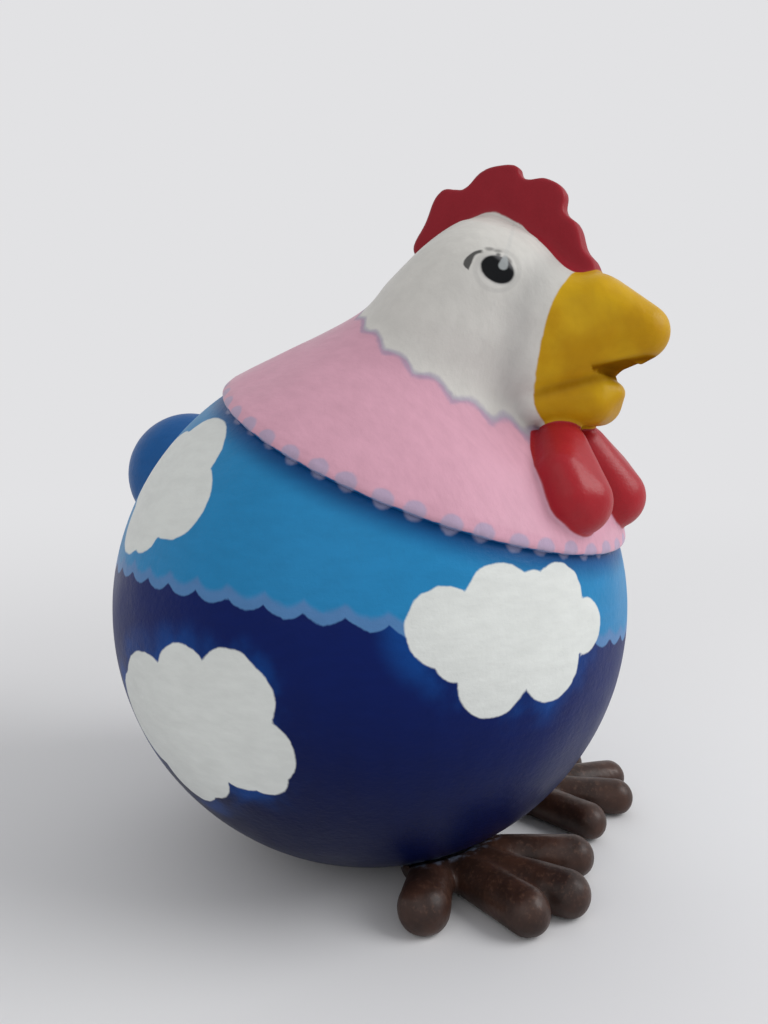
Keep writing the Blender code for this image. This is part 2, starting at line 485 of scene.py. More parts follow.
def comb():
    """The comb's outline as a filled flat curve, then thinned from its base to its edge."""
    curve = bpy.data.curves.new("comb_outline", "CURVE")
    curve.dimensions = "2D"
    curve.fill_mode = "BOTH"
    curve.extrude = COMB_BASE_THICKNESS / 2 - COMB_ROUNDING
    curve.bevel_depth = COMB_ROUNDING
    curve.offset = -COMB_ROUNDING
    curve.bevel_resolution = 4
    curve.resolution_u = 10
    spline = curve.splines.new("BEZIER")
    spline.use_cyclic_u = True
    spline.bezier_points.add(len(COMB_OUTLINE) - 1)
    for point, (forward, up) in zip(spline.bezier_points, COMB_OUTLINE):
        point.co = (forward, up, 0)
        point.handle_left_type = "AUTO"
        point.handle_right_type = "AUTO"
    drawn = placed("comb_outline", curve)
    flat = bpy.data.meshes.new_from_object(drawn.evaluated_get(bpy.context.evaluated_depsgraph_get()))
    bpy.data.objects.remove(drawn)
    shape = bmesh.new()
    shape.from_mesh(flat)
    bpy.data.meshes.remove(flat)
    bmesh.ops.remove_doubles(shape, verts=shape.verts, dist=0.01 * MM)
    low = min(v.co.y for v in shape.verts)
    high = max(v.co.y for v in shape.verts)
    for vertex in shape.verts:
        forward, up, side = vertex.co
        share = (up - low) / (high - low)
        thinned = 1 + share * (COMB_EDGE_THICKNESS / COMB_BASE_THICKNESS - 1)
        vertex.co = from_rim(forward, up, side * thinned)
    bmesh.ops.triangulate(shape, faces=shape.faces)
    return shape


def mirrored_balls(rows):
    """Balls on both sides of the middle plane, from rows of (forward, up, side, radius)."""
    balls = []
    for forward, up, side, radius in rows:
        balls.append((from_rim(forward, up, side), radius))
        if side:
            balls.append((from_rim(forward, up, -side), radius))
    return balls


def wattle(hand):
    """One wattle, on the right side where hand is -1 and on the left where it is 1."""
    balls = [(from_rim(forward, up, hand * side), radius) for forward, up, side, radius in WATTLE_BALLS]
    return hull_form(balls)


def tail():
    out = Vector((0, cos(TAIL_RISE), sin(TAIL_RISE)))
    root = BALL_CENTRE + out * (BALL_RADIUS - TAIL_ROOT_RADIUS)
    tip = BALL_CENTRE + out * (BALL_RADIUS + TAIL_LENGTH - TAIL_TIP_RADIUS)
    return ConeForm(root, TAIL_ROOT_RADIUS, tip, TAIL_TIP_RADIUS)


def joined(first, second, width):
    """Two measures as one form, with a fillet of the given width in the corner between them."""
    far_1, out_1 = first
    far_2, out_2 = second
    share = np.clip(0.5 + 0.5 * (far_2 - far_1) / width, 0, 1)
    far = far_2 + (far_1 - far_2) * share - width * share * (1 - share)
    return far, out_1 * share[:, None] + out_2 * (1 - share[:, None])


def trimmed(first, kept, width):
    """Only what two measured forms share, with a rounded edge."""
    far, out = joined((-first[0], -first[1]), (-kept[0], -kept[1]), width)
    return -far, -out


class Blend:
    """Forms joined in order, each with its own fillet."""

    def __init__(self, first, *others):
        self.first = first
        self.others = others

    def measure(self, points):
        measured = self.first.measure(points)
        for form, width in self.others:
            measured = joined(measured, form.measure(points), width)
        return measured

    def forms(self):
        return [self.first, *(form for form, _ in self.others)]


class Slit:
    """A form with a narrow gap cut into it."""

    def __init__(self, whole, gap, rounding):
        self.whole = whole
        self.gap = gap
        self.rounding = rounding

    def measure(self, points):
        far, out = self.gap.measure(points)
        return trimmed(self.whole.measure(points), (-far, -out), self.rounding)

    def forms(self):
        return self.whole.forms()


class Pressed:
    """A soft lump pressed on the ground below it and against the ball above it."""

    def __init__(self, lump):
        self.lump = lump

    def measure(self, points):
        measured = self.lump.measure(points)
        ground = (-points[:, 2], np.tile((0.0, 0.0, -1.0), (len(points), 1)))
        measured = trimmed(measured, ground, FILLET_GROUND)
        far, out = BallForm(BALL_CENTRE, BALL_RADIUS + FOOT_GLUE_GAP).measure(points)
        return trimmed(measured, (-far, -out), FILLET_GROUND)

    def forms(self):
        return self.lump.forms()


def rough_object(name, forms):
    """Several overlapping forms in one object."""
    whole = bmesh.new()
    for form in forms:
        shape = form.mesh()
        bmesh.ops.recalc_face_normals(shape, faces=shape.faces)
        piece = as_mesh("piece", shape)
        whole.from_mesh(piece)
        bpy.data.meshes.remove(piece)
    return placed(name, as_mesh(name, whole))


def even_faces(thing, voxel):
    step = thing.modifiers.new("even faces", "REMESH")
    step.mode = "VOXEL"
    step.voxel_size = voxel


def remeshed(name, forms, voxel, gap=None):
    """One even mesh round several overlapping forms, less the gap cut into them."""
    rough = rough_object(name + "_rough", forms)
    even_faces(rough, voxel)
    cutter = None
    if gap is not None:
        cutter = rough_object(name + "_gap", [gap])
        step = rough.modifiers.new("gap", "BOOLEAN")
        step.operation = "DIFFERENCE"
        step.solver = "EXACT"
        step.object = cutter
        even_faces(rough, voxel)
    made = bpy.data.meshes.new_from_object(rough.evaluated_get(bpy.context.evaluated_depsgraph_get()))
    for thing in filter(None, (rough, cutter)):
        mesh = thing.data
        bpy.data.objects.remove(thing)
        bpy.data.meshes.remove(mesh)
    made.name = name
    return made


def read_vectors(items, name):
    """The named vector of each item, as rows."""
    vectors = np.empty(len(items) * 3)
    items.foreach_get(name, vectors)
    return vectors.reshape(-1, 3)


def read_points(mesh):
    return read_vectors(mesh.vertices, "co")


def write_points(mesh, points):
    mesh.vertices.foreach_set("co", points.astype(np.float32).ravel())
    mesh.update()


def smoothed(mesh, points, rounds):
    """Each point drawn half the way to the middle of its neighbours."""
    pairs = np.empty(len(mesh.edges) * 2, dtype=int)
    mesh.edges.foreach_get("vertices", pairs)
    first, second = pairs.reshape(-1, 2).T
    count = np.bincount(pairs, minlength=len(points))[:, None]
    for _ in range(rounds):
        total = np.empty_like(points)
        for k in range(3):
            total[:, k] = np.bincount(first, points[second, k], len(points))
            total[:, k] += np.bincount(second, points[first, k], len(points))
        points = points + 0.5 * (total / count - points)
    return points


def noise_at(points, size):
    """Smooth noise between about -1 and 1, with bumps of about the given size."""
    return np.array([noise.noise(Vector(p) / size) for p in points])


def lumpy(points, lumps):
    """How far the surface sinks at each point, for rows of (depth, size)."""
    return sum(depth * (1 + noise_at(points, size)) / 2 for depth, size in lumps)


def settle(mesh, form, rounds):
    """Draws a rough mesh onto the form's true surface, and then smooths it."""
    points = read_points(mesh)
    draws, smooths = rounds
    for _ in range(draws):
        far, out = form.measure(points)
        size = np.maximum((out**2).sum(axis=1), LEAST_SLOPE)
        points = points - out * (far / size)[:, None]
    return smoothed(mesh, points, smooths)


def sink(mesh, points, depths):
    """Moves points inward by the given depths."""
    write_points(mesh, points)
    write_points(mesh, points - read_vectors(mesh.vertex_normals, "vector") * depths[:, None])


def rest_on_ground(mesh):
    """Lifts the points that lie below the ground onto it."""
    points = read_points(mesh)
    points[:, 2] = np.maximum(points[:, 2], 0.0)
    write_points(mesh, points)


def finished_piece(name, mesh, material, node):
    for polygon in mesh.polygons:
        polygon.use_smooth = True
    mesh.materials.append(material)
    made = placed(name, mesh)
    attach(made, "root")
    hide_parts(node)
    return made


def store(mesh, name, values):
    """Keeps one number at each point of the mesh, for the materials."""
    mesh.attributes.new(name, "FLOAT", "POINT").data.foreach_set("value", values.astype(np.float32))


# How unevenly each repeat of a border is painted
BORDER_WOBBLE = 0.0006

# Painted edges on the ball
BAND_HEIGHT = 0.15285
BAND_SLOPE = (0.1349, -0.0741)
BAND_COUNT = 51
BAND_PHASE = radians(-51.1)
BAND_WAVE = 0.0045
BAND_WAVE_MIDDLE = 0.55
BAND_WAVE_ROUNDNESS = 0.8
TAIL_PAINT_REACH = 4.0 * MM
FOOT_GLUE_DEPTH = 0.5 * MM

# Painted edges on the collar
HEM_COUNT = 46
HEM_PHASE = radians(-66)
HEM_RISE = 0.0028
HEM_DAB_RADIUS = 0.0050
HEM_DAB_SHIFT = 0.06
COLLAR_SLOPE = 1.41
TOP_LACE_LEAN = radians(35.6)
TOP_LACE_BACK = (-0.029, 0.084)
TOP_LACE_COUNT = 20
TOP_LACE_PHASE = radians(-68)
TOP_LACE_WAVE = 0.0030
TOP_LACE_WAVE_MIDDLE = 0.25
TOP_LACE_WAVE_ROUNDNESS = 1.6
TOP_LACE_RISE = 0.0016
TOP_LACE_FRONT_RISE = 0.0008
TOP_LACE_FRONT_START = radians(-50)
TOP_LACE_FRONT_SPAN = radians(20)

# The beak's painted root in the side view, as (forward, up) from the rim's centre
BEAK_ROOT = (
    (0.1080, 0.0980),
    (0.0925, 0.0910),
    (0.0918, 0.0846),
    (0.0893, 0.0777),
    (0.0863, 0.0673),
    (0.0833, 0.0534),
    (0.0801, 0.0371),
    (0.0780, 0.0302),
    (0.0785, 0.0254),
    (0.0810, 0.0165),
    (0.0860, 0.0100),
    (0.1200, 0.0080),
)
BEAK_PAINT_END = 0.15

# The line of brown paint and painted shade along the upper beak's lower edge, as places forward and their
# heights
LIP_FORWARD = (0.104, 0.126)
LIP_UP = (0.0420, 0.0465)

# How wide the mouth's brown paint and painted shade are, and how many times faster they fade out of the gap
# and past the lip
MOUTH_PAINT_WIDTH = 2.4 * MM
MOUTH_GAP_FADE = 3.0
MOUTH_LIP_FADE = 1.5

# The shaded hollow of the cheek behind the beak's paint
HOLLOW_DISTANCE = 0.010
HOLLOW_WIDTH = 0.007

# How far the red paint runs past the comb on the head, by the place forward of the rim's centre
COMB_PAINT_FORWARD = (0.062, 0.073, 0.092, 0.098, 0.102)
COMB_PAINT_REACH = (0.0014, 0.0055, 0.0055, 0.0020, 0.0006)

# How far the red paint runs past the wattles, by the height above the rim's centre
WATTLE_PAINT_UP = (-0.006, 0.004)
WATTLE_PAINT_REACH = (0.0007, 0.0030)


def wobble(count, amount):
    """One small hand-made difference for each repeat of a painted edge."""
    return np.random.default_rng(SEED + count).uniform(-amount, amount, count)


def repeat_of(angle, count, phase):
    """Which repeat of a border each angle falls in, and how far along it, from -0.5 to 0.5."""
    turns = (angle - phase) * count / (2 * pi)
    index = np.round(turns)
    return index.astype(int) % count, turns - index


def band_edge(points):
    """Height above the band's wavy lower edge."""
    x, y, z = points.T
    height = z - (BAND_HEIGHT - BAND_SLOPE[0] * x - BAND_SLOPE[1] * y)
    index, along = repeat_of(np.arctan2(x, -y), BAND_COUNT, BAND_PHASE)
    lift = wobble(BAND_COUNT, BORDER_WOBBLE)[index]
    wave = BAND_WAVE * (BAND_WAVE_MIDDLE - np.abs(np.sin(pi * along)) ** BAND_WAVE_ROUNDNESS)
    return height - wave - lift


def cloud_edge(points):
    """Distance outside the nearest cloud's edge."""
    out = (points - np.array(BALL_CENTRE)) / lengths(points - np.array(BALL_CENTRE))[:, None]
    nearest = np.full(len(points), 1.0)
    for cloud in CLOUDS:
        a, e = cloud.azimuth, cloud.rise
        middle = np.array((sin(a) * cos(e), -cos(a) * cos(e), sin(e)))
        east = np.array((cos(a), sin(a), 0.0)) * cloud.facing
        north = np.cross(middle, np.array((cos(a), sin(a), 0.0)))
        turn = np.arccos(np.clip(out @ middle, -1, 1))
        across, up = out @ east, out @ north
        scale = BALL_RADIUS * turn / np.maximum(np.hypot(across, up), TINY)
        across, up = across * scale, up * scale
        for x, y, radius in cloud.puffs:
            nearest = np.minimum(nearest, np.hypot(across - x * MM, up - y * MM) - radius * MM)
    return nearest


def rim_places(points):
    """Each point's angle round the rim from straight ahead, and its height above the rim."""
    away = points - np.array(RIM_CENTRE)
    height = away @ np.array(RIM_NORMAL)
    forward = away @ np.array(RIM_FORWARD)
    return np.arctan2(away[:, 0], forward), height


def side_places(points):
    """Each point's place ahead of the rim's centre, and above it."""
    return RIM_CENTRE.y - points[:, 1], points[:, 2] - RIM_CENTRE.z


def side_distance(points, line):
    """Distance in the side view from a line of (forward, up) points, positive on its forward side."""
    forward, up = side_places(points)
    nearest = np.full(len(points), 1.0)
    inside = np.zeros(len(points), dtype=bool)
    closed = [*line, (BEAK_PAINT_END, line[-1][1]), (BEAK_PAINT_END, line[0][1])]
    for i, (f0, u0) in enumerate(closed):
        f1, u1 = closed[(i + 1) % len(closed)]
        df, du = f1 - f0, u1 - u0
        share = np.clip(((forward - f0) * df + (up - u0) * du) / (df * df + du * du), 0, 1)
        gap = np.hypot(forward - f0 - share * df, up - u0 - share * du)
        nearest = np.minimum(nearest, gap)
        crosses = (u0 > up) != (u1 > up)
        safe = du if abs(du) > TINY else TINY
        inside ^= crosses & (forward < f0 + (up - u0) * df / safe)
    return np.where(inside, nearest, -nearest)


def hem_edges(points):
    """Distance from the nearest dab of the collar's hem, and height along the collar above the hem line."""
    angle, height = rim_places(points)
    along_collar = np.where(
        height < RIM_THICKNESS, height, RIM_THICKNESS + (height - RIM_THICKNESS) * COLLAR_SLOPE
    )
    index, along = repeat_of(angle, HEM_COUNT, HEM_PHASE)
    across = (along + wobble(HEM_COUNT, HEM_DAB_SHIFT)[index]) * 2 * pi * RIM_SEAT_RADIUS / HEM_COUNT
    rise = along_collar - HEM_RISE - wobble(HEM_COUNT + 1, BORDER_WOBBLE)[index]
    return np.hypot(across, rise) - HEM_DAB_RADIUS, along_collar - HEM_RISE


def top_lace_edge(points):
    """Height above the scalloped edge between the collar and the white head."""
    forward, up = side_places(points)
    height = (up - TOP_LACE_BACK[1]) * cos(TOP_LACE_LEAN) + (forward - TOP_LACE_BACK[0]) * sin(TOP_LACE_LEAN)
    angle, _ = rim_places(points)
    index, along = repeat_of(angle, TOP_LACE_COUNT, TOP_LACE_PHASE)
    wave = TOP_LACE_WAVE * (np.abs(np.cos(pi * along)) ** TOP_LACE_WAVE_ROUNDNESS - TOP_LACE_WAVE_MIDDLE)
    front = np.clip((angle - TOP_LACE_FRONT_START) / TOP_LACE_FRONT_SPAN, 0, 1)
    rise = TOP_LACE_RISE + TOP_LACE_FRONT_RISE * front
    return height - rise - wave - wobble(TOP_LACE_COUNT, BORDER_WOBBLE)[index]


def comb_edge(points, crest):
    """Distance outside the comb's red paint, which runs a little past its foot."""
    forward, _ = side_places(points)
    return crest.measure(points)[0] - np.interp(forward, COMB_PAINT_FORWARD, COMB_PAINT_REACH)


def wattle_edge(points, wattles, from_lower_beak):
    """Distance outside the wattles' red paint, which stops at the beak."""
    _, up = side_places(points)
    from_wattle = np.minimum(*(w.measure(points)[0] for w in wattles))
    reach = np.interp(up, WATTLE_PAINT_UP, WATTLE_PAINT_REACH)
    return np.maximum(from_wattle - reach, from_wattle - from_lower_beak)


def mouth_brown_and_shade(points, upper, gap, from_lower_beak):
    """How much brown paint and painted shade the mouth has: most in its gap, along the beak's crease and
    under the lip.
    """
    forward, up = side_places(points)
    crease = np.abs(upper.measure(points)[0]) + np.abs(from_lower_beak)
    opening = np.maximum(gap.measure(points)[0], 0)
    from_lip = np.abs(up - np.interp(forward, LIP_FORWARD, LIP_UP))
    from_lip = np.where(forward > LIP_FORWARD[0], from_lip, 1.0)
    near = np.minimum(np.minimum(crease, MOUTH_GAP_FADE * opening), MOUTH_LIP_FADE * from_lip)
    return np.exp(-((near / MOUTH_PAINT_WIDTH) ** 2))


# Paint colours as they look, 0 to 255
WHITE_PAINT = (205, 203, 198)
CLOUD_PAINT = (214, 217, 214)
PINK_PAINT = (206, 156, 174)
LILAC_PAINT = (148, 138, 164)
DAB_PAINT = (158, 156, 184)
LIGHT_BLUE_PAINT = (37, 126, 178)
SHADOW_BLUE_PAINT = (14, 72, 128)
DARK_BLUE_PAINT = (3, 24, 86)
BOTTOM_SHADE_BLUE_PAINT = (2, 8, 40)
HAZE_BLUE_PAINT = (8, 66, 138)
BAND_PAINT = (92, 124, 172)
YELLOW_PAINT = (199, 157, 24)
DEEP_YELLOW_PAINT = (179, 133, 14)
MOUTH_BROWN_AND_SHADE_PAINT = (104, 56, 6)
COMB_PAINT = (142, 34, 44)
WATTLE_PAINT = (158, 28, 38)
TAIL_PAINT = (24, 84, 144)
BLACK_PAINT = (16, 17, 20)
GREY_PAINT = (120, 120, 122)
EYE_WHITE_PAINT = (214, 212, 209)
HIGHLIGHT_PAINT = (168, 173, 174)
CLAY_PAINT = (66, 43, 34)
CLAY_DARK_PAINT = (42, 27, 22)
CLAY_HIGHLIGHT_PAINT = (92, 66, 54)
GLUE_PAINT = (150, 165, 190)
PAINT_GLOSS = 0.10
WATTLE_GLOSS = 0.22
CLAY_GLOSS = 0.30
PAINT_ROUGHNESS = (0.30, 0.44)
CLAY_ROUGHNESS = (0.34, 0.48)

# Sizes of the streaks, patches and ragged edges in the paint, and the way the strokes run
HEAD_STREAKS = 0.0035
HEAD_PATCHES = 0.030
HEAD_RAGGED = 0.006
HEAD_STROKE = (1.0, 0.35, 0.30)
BALL_STREAKS = 0.0045
BALL_PATCHES = 0.045
BALL_RAGGED = 0.007
BALL_STROKE = (0.35, 0.35, 1.0)
STREAK_ROUGHNESS = 0.55
STREAK_SHADE = 0.07
CLAY_PATCHES = 0.016
GLUE_SIZE = 0.0055
FINE_ROUGHNESS = 0.65

# Relief, as the size of its features and how far they stand out
PAPER_STRIPS = (1 / 24, 0.0008)
BRUSH_MARKS = (0.0016, 0.00012)
PAPER_GRAIN = (0.004, 0.00025)
CLAY_GRAIN = (0.0025, 0.00016)
CLAY_WAVES = (0.012, 0.0010)

# How soft each painted edge is, and how far its line shakes
EDGE_SOFT = 0.0006
EDGE_SHAKE = 0.0022
LACE_SOFT = 0.0007
LACE_STROKE_SOFT = 0.0010
HEM_SOFT = 0.0005
DAB_SOFT = 0.0009
BEAK_SOFT = 0.0005
BEAK_SHAKE = 0.0012
COMB_SOFT = 0.0005
COMB_SHAKE = 0.0010
WATTLE_SOFT = 0.0004
WATTLE_SHAKE = 0.0006
RIBBON_SOFT = 0.0018
TAIL_SOFT = 0.0020

# How strongly thin paint covers what is below it
HOLLOW_COVER = 0.30
LACE_STROKE_COVER = 0.62
DAB_COVER = 0.66
MOUTH_COVER = 0.85
RIBBON_COVER = 0.70
HAZE_COVER = 0.75
CLAY_HIGHLIGHT_COVER = 0.6

# Widths of painted lines, and how far below the hem's middle the blue begins
LACE_STROKE_HALF_WIDTH = 0.0014
RIBBON_WIDTH = 0.0056
HEM_DROP = 0.0018

# Soft changes, each from a place to a place, some with the value before and the value after
HEM_SHADE = (-0.0040, -0.0008, 0.95, 0.55)
COLLAR_SHADE = (0.001, 0.013, 1.0, 0.0)
DEPTH_SHADE = (-0.115, -0.010, 0.8, 0.0)
HAZE_REACH = (0.002, 0.016, 1.0, 0.0)
HAZE_PATCHES = (0.42, 0.62)
GLUE_REACH = (0.0010, 0.0042, 0.65, 0.0)
GLUE_SPECKS = (0.47, 0.60)
CLAY_PROUD = (0.3, 0.9)
CLAY_HIGHLIGHT_SPECKS = (0.50, 0.72)
MOUTH_DULL = (0.2, 0.8, 1.0, 0.0)


def linear(colour):
    """A colour as it looks, 0 to 255, turned into the light values that a shader takes."""
    parts = (c / 255 for c in colour)
    return (*(c / 12.92 if c <= 0.04045 else ((c + 0.055) / 1.055) ** 2.4 for c in parts), 1.0)


class Paint:
    """A material and short calls for its nodes."""

    def __init__(self, name):
        self.material = bpy.data.materials.new(name)
        self.material.use_nodes = True
        self.nodes = self.material.node_tree.nodes
        self.links = self.material.node_tree.links
        self.shader = self.nodes["Principled BSDF"]
        self.place = self.nodes.new("ShaderNodeTexCoord").outputs["Object"]

    def plug(self, socket, value):
        if isinstance(value, bpy.types.NodeSocket):
            self.links.new(value, socket)
        elif isinstance(value, tuple) and len(value) == 3 and socket.type == "RGBA":
            socket.default_value = linear(value)
        else:
            socket.default_value = value

    def maths(self, operation, first, second=0.0, third=0.0):
        node = self.nodes.new("ShaderNodeMath")
        node.operation = operation
        for socket, value in zip(node.inputs, (first, second, third)):
            self.plug(socket, value)
        return node.outputs[0]

    def plus(self, first, second):
        return self.maths("ADD", first, second)

    def minus(self, first, second):
        return self.maths("SUBTRACT", first, second)

    def times(self, first, second):
        return self.maths("MULTIPLY", first, second)

    def vector(self, operation, first, second=(0.0, 0.0, 0.0)):
        node = self.nodes.new("ShaderNodeVectorMath")
        node.operation = operation
        self.plug(node.inputs[0], first)
        self.plug(node.inputs[1], second)
        return node.outputs["Value" if operation in ("DOT_PRODUCT", "LENGTH") else "Vector"]

    def mix(self, share, first, second):
        node = self.nodes.new("ShaderNodeMix")
        node.data_type = "RGBA"
        self.plug(node.inputs[0], share)
        self.plug(node.inputs[6], first)
        self.plug(node.inputs[7], second)
        return node.outputs[2]

    def step(self, value, low, high, start=0.0, end=1.0):
        """A smooth change from start to end as value goes from low to high."""
        node = self.nodes.new("ShaderNodeMapRange")
        node.interpolation_type = "SMOOTHSTEP"
        for socket, number in zip(node.inputs, (value, low, high, start, end)):
            self.plug(socket, number)
        return node.outputs[0]

    def noise(self, size, detail=3.0, stretch=(1.0, 1.0, 1.0), roughness=0.5):
        """Noise from 0 to 1 with features of about the given size, longer where stretch is below 1."""
        scaled = self.vector("MULTIPLY", self.place, tuple(s / size for s in stretch))
        node = self.nodes.new("ShaderNodeTexNoise")
        self.plug(node.inputs["Vector"], scaled)
        node.inputs["Scale"].default_value = 1.0
        node.inputs["Detail"].default_value = detail
        node.inputs["Roughness"].default_value = roughness
        return node.outputs["Fac"]

    def kept(self, name):
        """A number that was stored at the mesh's points."""
        node = self.nodes.new("ShaderNodeAttribute")
        node.attribute_name = name
        return node.outputs["Fac"]

    def edge(self, distance, soft, ragged, shake=EDGE_SHAKE):
        """1 where the distance is below 0, with a hand-painted edge of the given softness and shake."""
        jitter = self.times(self.minus(ragged, 0.5), shake)
        return self.step(self.plus(distance, jitter), -soft, soft, 1.0, 0.0)

    def bump(self, height, distance, before=None):
        node = self.nodes.new("ShaderNodeBump")
        node.inputs["Strength"].default_value = 1.0
        node.inputs["Distance"].default_value = distance
        self.plug(node.inputs["Height"], height)
        if before is not None:
            self.plug(node.inputs["Normal"], before)
        return node.outputs["Normal"]

    def finish(self, colour, roughness, normal, gloss):
        self.plug(self.shader.inputs["Specular IOR Level"], gloss)
        self.plug(self.shader.inputs["Base Color"], colour)
        self.plug(self.shader.inputs["Roughness"], roughness)
        self.plug(self.shader.inputs["Normal"], normal)
        return self.material


def paper_relief(paint, stroke):
    """Brush marks in the paint, over the layered strips of paper."""
    cells = paint.nodes.new("ShaderNodeTexVoronoi")
    paint.plug(cells.inputs["Vector"], paint.place)
    cells.inputs["Scale"].default_value = 1 / PAPER_STRIPS[0]
    cells.feature = "SMOOTH_F1"
    relief = paint.bump(cells.outputs["Distance"], PAPER_STRIPS[1])
    size, height = BRUSH_MARKS
    relief = paint.bump(paint.noise(size, 4.0, stroke, 0.6), height, relief)
    size, height = PAPER_GRAIN
    return paint.bump(paint.noise(size, 5.0, roughness=0.6), height, relief)


def brushed(paint, colour, streaks, patches):
    """A colour with the lighter and darker streaks that a brush leaves."""
    both = paint.plus(paint.times(streaks, 0.6), paint.times(patches, 0.4))
    shade = paint.step(both, 0.3, 0.7, 1.0 - STREAK_SHADE, 1.0 + STREAK_SHADE * 0.4)
    node = paint.nodes.new("ShaderNodeVectorMath")
    node.operation = "SCALE"
    paint.plug(node.inputs[0], colour)
    paint.plug(node.inputs["Scale"], shade)
    return node.outputs["Vector"]


def satin(paint, patches, roughness):
    """Roughness that changes softly from patch to patch."""
    return paint.step(patches, 0.25, 0.75, *roughness)


# The painted eye on the hen's right cheek, which the left one mirrors
EYE_PLACE = (-0.0440, -0.1054, 0.3219)
EYE_OUT = Vector((-0.85, -0.52, 0.08)).normalized()
EYE_ACROSS = Vector((0, 0, 1)).cross(EYE_OUT).normalized()
EYE_UP = EYE_OUT.cross(EYE_ACROSS)

# Its strokes in millimetres across and up from that place
EYE_OVAL_PLACE = (0.35, 0.80)
EYE_OVAL_SIZE = (8.6, 6.5)
EYE_OVAL_LEAN = radians(-35)
EYE_RING_RADIUS = 10.4
EYE_RING = (0.4, 1.8, 1.0, 0.0)
EYE_INSIDE = (-3.0, -0.6, 1.0, 0.0)
LID_PLACE = (-7.0, 3.6)
LID_RADIUS = 6.8
LID_SWELLING = (-4.8, 1.2, -0.8, 2.0)
LID_TAPER = (1.4, 6.5, 0.0, -1.1)
LID_END = (-0.8, 1.4, 1.0, 0.0)

# Smears above the oval, each row (across, up, half length, half width, lean in degrees, strength)
SMEARS = (
    (-3.2, 11.7, 2.6, 1.3, -8, 0.50),
    (0.7, 10.4, 2.2, 1.2, -8, 0.45),
    (0.9, 8.3, 1.4, 1.2, -8, 0.70),
    (5.3, 5.4, 3.0, 1.8, -52, 0.60),
)

# The oval's soft edges, its painted sheen on the side toward the light, and its highlight
EYE_HALO = (0.95, 1.22, 1.0, 0.0)
EYE_OVAL_EDGE = (0.90, 1.06, 1.0, 0.0)
EYE_HAZE_TOWARD = radians(52)
EYE_HAZE = (3.2, 5.6)
HIGHLIGHT_PLACE = (3.1, 2.6)
HIGHLIGHT_LEAN = radians(75)
HIGHLIGHT_WIDTH = (0.0, 6.0, 2.2, 0.9)
HIGHLIGHT_TOP = (3.5, 6.5, 1.0, 0.2)

# How the brush's shake shifts every stroke of the eye: the size of its waves in metres, and how far
EYE_SHAKE_SIZE = 0.004
EYE_SHAKE = 0.8


